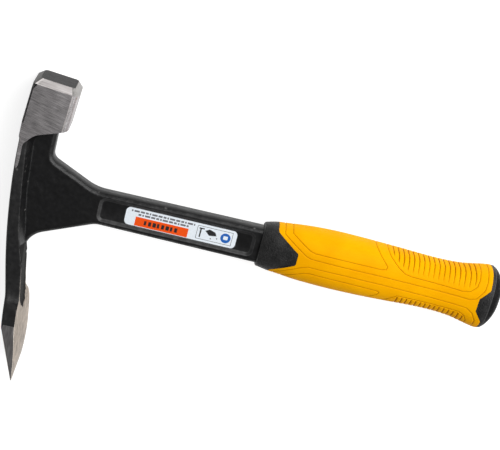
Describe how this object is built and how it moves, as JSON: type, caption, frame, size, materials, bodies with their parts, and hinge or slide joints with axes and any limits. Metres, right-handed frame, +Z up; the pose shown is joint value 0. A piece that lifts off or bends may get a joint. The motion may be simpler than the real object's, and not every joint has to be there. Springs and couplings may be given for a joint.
{
  "type": "brick hammer",
  "caption": "Brick hammer forged in one piece, with a square ground poll, a curved chisel blade, a pocketed flat shaft and a two-colour moulded grip.",
  "frame": {"origin": "on the floor, under the centre of the hammer's bounding box as it lies on its side", "axes": "+X along the handle from the head to the butt, +Y along the head from the chisel blade to the striking face, +Z up out of the side that carries the label"},
  "size_m": [0.2846, 0.1776, 0.0396],
  "materials": {
    "steel": null,
    "black_moulding": "fine matt texture",
    "yellow_moulding": "soft satin, with engraved lines and ribs",
    "label": "printed film, white with an orange bar and a blue disc, no lettering"
  },
  "bodies": {
    "root": {"forged_body": "steel", "grip_core": "black_moulding", "grip_cover": "yellow_moulding", "shaft_label": "label"}
  },
  "joints": []
}
